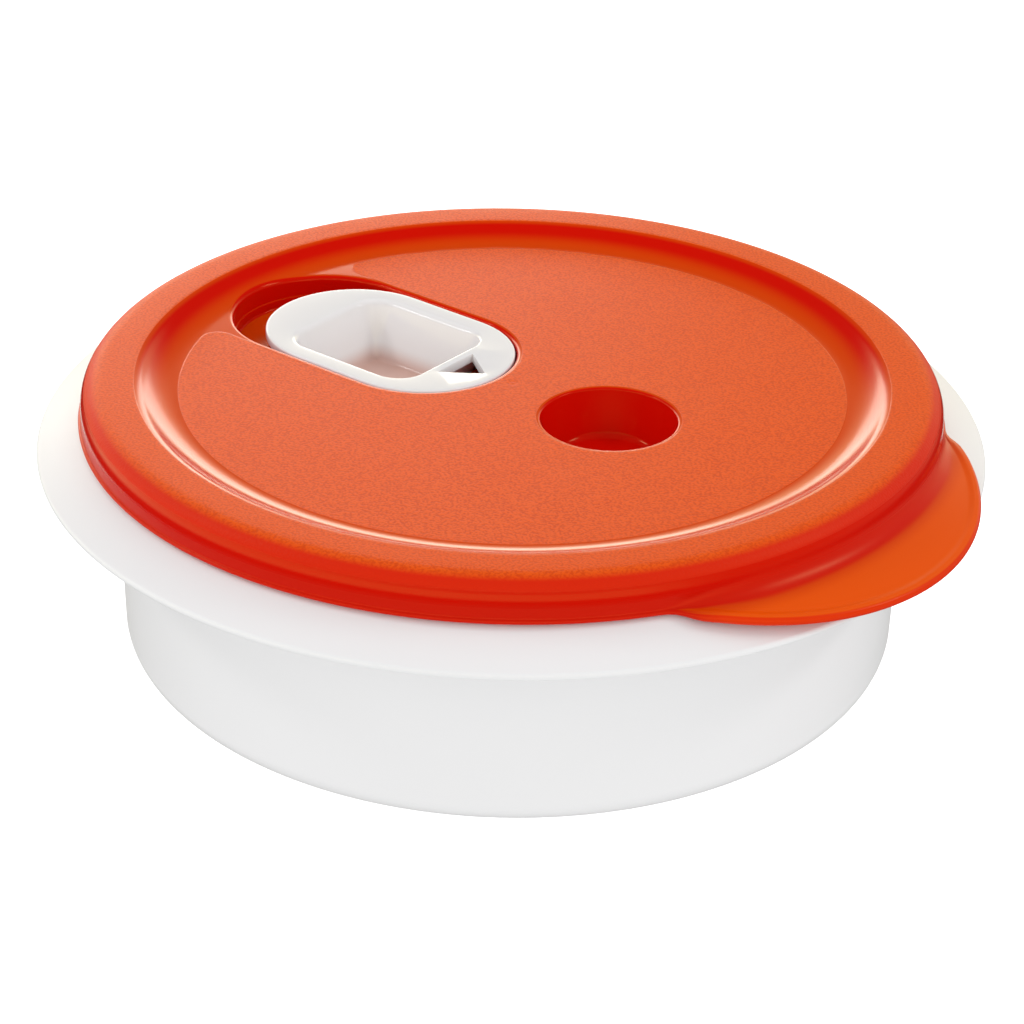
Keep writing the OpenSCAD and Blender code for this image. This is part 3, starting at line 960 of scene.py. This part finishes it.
# %% Slider shell
ARROW_X, ARROW_L, ARROW_W = WELL_X + WELL_L / 2 + 2.5, 9.8, 14.0
PLATE_ROUND, WELL_ROUND, WEB_ROUND, WELL_FLOOR_ROUND = 0.55, 2.0, 0.9, 1.4
plate_under = PLATE_TOP - PLATE_T
skin = Shell()
plate = Outline(PLATE_L, PLATE_W, PLATE_W / 2, SLIDER_X, 32, 20)
well = Outline(WELL_L, WELL_W, WELL_CORNER, SLIDER_X + WELL_X, 12, 14)


def arrow_loop(grow, z):
    """The arrow's outline, each side moved outward by grow."""
    half = math.atan2(ARROW_W / 2, ARROW_L)
    tip, side = grow / math.sin(half), grow * math.tan((math.pi / 2 + half) / 2)
    corners = np.array([
        (-grow, -ARROW_W / 2 - side), (ARROW_L + tip, 0), (-grow, ARROW_W / 2 + side),
    ])
    points = [corners[i] + (corners[(i + 1) % 3] - corners[i]) * t
              for i in range(3) for t in (0.02, 0.3, 0.7, 0.98)]
    return skin.loop(np.array(points) + (SLIDER_X + ARROW_X, 0), z)


plate_side = skin.stack(plate, *(
    (PLATE_ROUND * (math.sin(a) - 1), PLATE_TOP - PLATE_ROUND * (1 - math.cos(a)))
    for a in rim_angles))
plate_side += skin.stack(
    plate, (0, plate_under + 0.3), (-0.08, plate_under + 0.08), (-0.3, plate_under))
skin.bands(plate_side)
arrow = [arrow_loop(grow, z) for grow, z in (
    (0.2, PLATE_TOP), (0.06, PLATE_TOP - 0.06), (0, PLATE_TOP - 0.2), (0, plate_under))]
skin.bands(arrow)

wall_angles = np.linspace(0, math.pi / 2 - DRAFT, 8)
to_arrow = SLIDER_X + WELL_X + WELL_L / 2 - well.at(0)[:, 0]
rim_round = WEB_ROUND + (WELL_ROUND - WEB_ROUND) * smooth((to_arrow - 1) / 9)
mouth = rim_round * (math.cos(DRAFT) - (1 - math.sin(DRAFT)) * SHRINK)
well_walls = skin.stack(well, *(
    (mouth - rim_round * math.sin(a), PLATE_TOP - rim_round * (1 - math.cos(a)))
    for a in wall_angles))
base_grow = -WELL_DEPTH * SHRINK
base_out = WELL_FLOOR_ROUND * (math.cos(DRAFT) - (1 - math.sin(DRAFT)) * SHRINK)
well_walls += skin.stack(well, *((-d * SHRINK, PLATE_TOP - d) for d in (4, 7, 10)))
well_walls += skin.stack(well, *(
    (base_grow - base_out + WELL_FLOOR_ROUND * math.sin(a),
     PLATE_TOP - WELL_DEPTH + WELL_FLOOR_ROUND * (1 - math.cos(a)))
    for a in wall_angles[::-1]))
skin.sheet(skin.bands(well_walls), height=lambda x, y: PLATE_TOP - WELL_DEPTH)
skin.sheet(plate_side[0], [well_walls[0], arrow[0]], [plate.guide(-PLATE_ROUND - 0.5)],
           lambda x, y: PLATE_TOP)

WELL_OUT = WELL_DEPTH + WELL_T
under_well = skin.stack(well, *(
    (WALL_STEP - d * SHRINK, PLATE_TOP - d) for d in (PLATE_T, 8, 12, WELL_OUT - 0.8)))
under_well += skin.stack(well, *(
    (WALL_STEP - WELL_OUT * SHRINK - d, PLATE_TOP - WELL_DEPTH - WELL_T + h)
    for d, h in ((0.0, 0.25), (0.6, 0))))
skin.sheet(skin.bands(under_well), height=lambda x, y: PLATE_TOP - WELL_DEPTH - WELL_T)
skin.sheet(plate_side[-1], [under_well[0], arrow[-1]], height=lambda x, y: plate_under)
slider = skin.piece("slider_plate", gloss_white)

# %% [markdown]
# ## Rails and clips
#
# Each is a small block with its edges broken by a bevel, because nothing that comes
# out of a mould has a knife edge. A union on the exact solver makes them one body
# with the plate.

# %% Rails and clips
def block(low, high, soft):
    """A box with bevelled edges, corners in millimetres."""
    shape = bmesh.new()
    bmesh.ops.create_cube(shape, size=1)
    low, high = Vector(low) * MM, Vector(high) * MM
    for v in shape.verts:
        v.co = Vector(c + 0.5 for c in v.co) * (high - low) + low
    bmesh.ops.bevel(
        shape, geom=shape.edges, offset=soft * MM, segments=2, profile=0.5, affect="EDGES"
    )
    mesh = bpy.data.meshes.new("block")
    shape.to_mesh(mesh)
    shape.free()
    return new_piece("block", mesh)


def join(piece, other):
    """Joins the other object on with the exact solver, and removes it."""
    modifier = piece.modifiers.new("join", "BOOLEAN")
    modifier.operation, modifier.solver, modifier.object = "UNION", "EXACT", other
    apply_modifiers(piece)
    bpy.data.objects.remove(other)


RAIL_T, RAIL_HALF = 1.6, (PLATE_L - PLATE_W) / 2
CLIP_HALF, CLIP_H, CLIP_OUT = 6.0, 1.2, SLOT_W / 2 + 1.2
clip_top = RECESS_Z - LID_T - 0.3
clip_wall = WELL_W / 2 + WALL_STEP - (PLATE_TOP - clip_top) * SHRINK - 0.9
for side in (-1, 1):
    rail_y = side * (PLATE_W / 2 - 1 - RAIL_T / 2)
    join(slider, block(
        (SLIDER_X - RAIL_HALF, rail_y - RAIL_T / 2, RECESS_Z + 0.3),
        (SLIDER_X + RAIL_HALF, rail_y + RAIL_T / 2, plate_under + 0.8), 0.25))
    ends = sorted((side * clip_wall, side * CLIP_OUT))
    join(slider, block(
        (SLIDER_X + WELL_X - CLIP_HALF, ends[0], clip_top - CLIP_H),
        (SLIDER_X + WELL_X + CLIP_HALF, ends[1], clip_top), 0.2))
tidy(slider, gloss_white)
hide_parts("vent_slider")
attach(slider, "slider")

# %% [markdown]
# ## The steam rack
#
# The rack is a disc with a low rim, six legs, five rings of steam holes and two
# openings for the fingers. A hole that would meet a leg or an opening is left out.
# Holes and legs repeat, so a Geometry Nodes tree places them: one cutter is set on
# every centre of the pattern, the legs on a circle, and a Boolean takes the one away
# and adds the other.

# %% Rack pattern
RACK_R, DECK_Z, RACK_T = DISH_IN_R - 1 - 5, DISH_FLOOR + 12, 2.0
RACK_RIM_H, RACK_RIM_T = 1.2, 2.0
HOLE_R, HOLE_RINGS, LEGS, LEG_R = 3.0, 6, 6, 3.5
LEG_RING_R, GRIP_L, GRIP_W = RACK_R - 14, 26.0, 14.0
GRIP_X = 0.6 * RACK_R
PITCH = (RACK_R - RACK_RIM_T - 3 * HOLE_R) / HOLE_RINGS
leg_angles = (np.arange(LEGS) + 0.5) * math.tau / LEGS
leg_spots = LEG_RING_R * np.stack([np.cos(leg_angles), np.sin(leg_angles)], 1)

hole_spots = []
for ring in range(1, HOLE_RINGS):
    for i in range(6 * ring):
        turned_by = i * math.pi / 3 / ring
        spot_xy = ring * PITCH * np.array([math.cos(turned_by), math.sin(turned_by)])
        off_grip = (abs(abs(spot_xy[0]) - GRIP_X) > GRIP_W / 2 + HOLE_R + 2
                    or abs(spot_xy[1]) > GRIP_L / 2 + HOLE_R + 2)
        off_legs = np.hypot(*(leg_spots - spot_xy).T).min() > LEG_R + HOLE_R + 0.8
        if off_grip and off_legs:
            hole_spots.append(spot_xy)
print(len(hole_spots), "steam holes,", LEGS, "legs")

# %% A tree that perforates a deck
perforating = bpy.data.node_groups.new("perforate_a_deck", "GeometryNodeTree")
graph, given = read_inputs(
    perforating, ("Deck", "Geometry"), ("Hole Centres", "Object"), ("Leg Centres", "Object"),
    ("Finger Openings", "Object"), ("Hole Radius", "Float"), ("Leg Foot Radius", "Float"),
    ("Leg Head Radius", "Float"), ("Leg Height", "Float"), ("Finish", "Material"),
)


def shape_of(name):
    """The mesh of the object that a named input gives."""
    return graph.add("GeometryNodeObjectInfo", None, {"Object": given.output(name)}, out="Geometry")


def one_at_each(name, instance):
    """The instance on each point of the named input's object, as real geometry."""
    return graph.add("GeometryNodeRealizeInstances", None, {"Geometry": graph.add(
        "GeometryNodeInstanceOnPoints", None, {"Points": shape_of(name), "Instance": instance})})


cutters = one_at_each("Hole Centres", graph.add("GeometryNodeMeshCylinder", None, {
    "Vertices": 28, "Radius": given.output("Hole Radius"), "Depth": 4 * RACK_T * MM}))
legs = one_at_each("Leg Centres", graph.add("GeometryNodeMeshCone", None, {
    "Vertices": 28, "Radius Top": given.output("Leg Head Radius"),
    "Radius Bottom": given.output("Leg Foot Radius"), "Depth": given.output("Leg Height")}))
with_legs = graph.add(
    "GeometryNodeMeshBoolean", {"operation": "UNION", "solver": "EXACT"},
    {"Mesh 2": [given.output("Deck"), legs]})
with_holes = graph.add(
    "GeometryNodeMeshBoolean", {"operation": "DIFFERENCE", "solver": "EXACT"},
    {"Mesh 1": with_legs, "Mesh 2": [cutters, shape_of("Finger Openings")]})
end_tree(graph, given, with_holes)
print("perforating tree:", len(perforating.nodes), "nodes")

# %% Rack
def points_object(name, spots, z):
    """An object of loose points at one height, in millimetres."""
    mesh = bpy.data.meshes.new(name)
    mesh.from_pydata([(px * MM, py * MM, z * MM) for px, py in spots], [], [])
    return new_piece(name, mesh)


deck_top, deck_low = DECK_Z, DECK_Z - RACK_T
outline = [(0, deck_low), (40, deck_low), (RACK_R - 0.7, deck_low)]
outline += arc(RACK_R - 0.6, deck_low + 0.6, 0.6, 0.6, -60, 0, 4)
outline += arc(RACK_R - 0.8, deck_top + RACK_RIM_H - 0.8, 0.8, 0.8, 0, 90, 6)
outline += arc(RACK_R - RACK_RIM_T + 0.7, deck_top + RACK_RIM_H - 0.6, 0.6, 0.6, 90, 170, 5)
outline += bend((RACK_R - RACK_RIM_T, deck_top + 0.5), (RACK_R - RACK_RIM_T - 0.1, deck_top),
                (RACK_R - RACK_RIM_T - 0.7, deck_top), 4)
outline += [(40, deck_top), (0, deck_top)]
rack = turn("rack_deck", outline, 192, rack_white)

grips = Shell()
grip = Outline(GRIP_W, GRIP_L, GRIP_W / 2, 0, 12, 6)
for side in (-1, 1):
    ends = [grips.loop(grip.at(0) + (side * GRIP_X, 0), z) for z in (deck_low - 1.5, deck_top + 1.5)]
    grips.bands(ends)
    for end in ends:
        grips.sheet(end)
grip_cutters = grips.piece("grip_cutters", rack_white)
LEG_FOOT_Z = DISH_FLOOR + 0.3
hole_points = points_object("hole_points", hole_spots, deck_low + RACK_T / 2)
leg_points = points_object("leg_points", leg_spots, LEG_FOOT_Z)
run_tree(
    rack, perforating, Hole_Centres=hole_points, Leg_Centres=leg_points,
    Finger_Openings=grip_cutters, Hole_Radius=HOLE_R * MM, Leg_Foot_Radius=(LEG_R - 0.6) * MM,
    Leg_Head_Radius=LEG_R * MM, Leg_Height=(deck_low + 0.4 - LEG_FOOT_Z) * MM, Finish=rack_white,
)
for helper in (hole_points, leg_points, grip_cutters):
    bpy.data.objects.remove(helper)
tidy(rack, rack_white)
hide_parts("steam_rack")
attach(rack, "rack")

# %% [markdown]
# ## Floor and light
#
# The object stands on a plain white table in a bright room. Two soft boxes, at the
# left and the right, put the streaks on the lid's shoulder. A low card behind the
# object is seen in reflections only, and gives the far part of the grained panel its
# sheen. The rest of the light comes from the world.
#
# The world could be one even white. Here scattered light, reflections and the camera
# each see their own. Scattered light is stronger from the front and from below, so
# that the dish's sides stay clean. Reflections see a warm bright horizon under a dark
# sky, so that a level glossy face stays deep in colour and a grazing one turns pale.
# The camera sees plain white. The table is hidden from scattered light and from
# reflections, because so large and near a white sheet would wash out the skirt.

# %% Floor
table_mesh = bpy.data.meshes.new("table")
table_mesh.from_pydata([(-4, -4, 0), (4, -4, 0), (4, 4, 0), (-4, 4, 0)], [], [(0, 1, 2, 3)])
table = new_piece("table", table_mesh)
table_paint, graph, place, shader = new_finish("table_white")
patch = grain(graph, place, 3)
feed(graph, shader, Base_Color=blend(graph, patch, (0.90, 0.90, 0.90, 1), (0.92, 0.92, 0.92, 1)),
     Roughness=0.6 + patch * 0.1, Emission_Color=(1, 1, 1, 1), Emission_Strength=0.75)
table_mesh.materials.append(table_paint)
table.visible_diffuse = table.visible_glossy = False
table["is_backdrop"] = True
print("table", [round(v) for v in table.dimensions[:2]], "m")

# %% Soft boxes
away = Vector((-math.sin(AZIMUTH), math.cos(AZIMUTH), 0))


def soft_box(name, side, back, high, distance, width, tall, watts):
    """An area light that faces the lid; its place is given along the camera's own axes."""
    direction = (right * side + away * back + Vector((0, 0, high))).normalized()
    light = bpy.data.lights.new(name, "AREA")
    light.shape, light.size, light.size_y, light.energy = "RECTANGLE", width, tall, watts
    lamp = bpy.data.objects.new(name, light)
    bpy.context.scene.collection.objects.link(lamp)
    target = Vector((0, 0, 0.07))
    lamp.location = target + direction * distance
    lamp.rotation_euler = direction.to_track_quat("Z", "Y").to_euler()
    print(f"{name}: {watts} W")
    return lamp


soft_box("soft_box_left", -0.78, 0.04, 0.58, 1.1, 0.30, 0.09, 1.5)
soft_box("soft_box_right", 0.78, -0.04, 0.58, 1.1, 0.30, 0.09, 1.5)
sheen = soft_box("sheen_card", -0.34, 0.90, 0.22, 0.40, 0.40, 0.10, 0.42)
sheen.visible_diffuse = False

# %% World
world = bpy.data.worlds.new("studio")
bpy.context.scene.world = world
world.use_nodes = True
world.node_tree.nodes.clear()
graph = Graph(world.node_tree)
direction = graph.add("ShaderNodeTexCoord", out=0)


def along(axis):
    """How far the ray points along a level axis, from -1 to 1."""
    return graph.add(
        "ShaderNodeVectorMath", {"operation": "DOT_PRODUCT"}, {0: direction, 1: tuple(axis)},
        out="Value",
    )


across, high = along(right), graph.split(direction)[2]
from_camera = graph.add("ShaderNodeLightPath")
from_mirror = from_camera.output("Is Glossy Ray")
glow = 0.70 + graph.step(high, 0.15, 0.9) * 0.10 + graph.step(along(-away), 0.2, 0.9) * 0.42
glow = glow - graph.step(across * across, 0.3, 0.9) * 0.02
glow = glow + graph.step(high, 0.02, -0.15) * (1.0 - glow)
horizon = graph.step(high, 0.50, 0.28) * graph.step(high, -0.25, 0.0)
warm = 2.2 - 0.3 * graph.step(across, -0.35, 0.35) - 1.5 * graph.step(across, 0.45, 0.85)
strength = glow + from_mirror * (0.05 + horizon * warm - glow)
strength = strength + from_camera * (1.05 - strength)
tone = blend(graph, from_mirror, (1, 1, 1, 1), (1.0, 0.88, 0.52, 1))
backdrop = graph.add("ShaderNodeBackground", None, {"Color": tone, "Strength": strength})
graph.add("ShaderNodeOutputWorld", None, {"Surface": backdrop})
bpy.context.scene.view_settings.view_transform = "Standard"
print("world:", len(world.node_tree.nodes), "nodes")

# %% Measure and finish
low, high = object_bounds()
{"cad": [list(cad_low), list(cad_high)], "visual": [list(low), list(high)]}
print("visual box", [round(v, 4) for v in (*low, *high)])
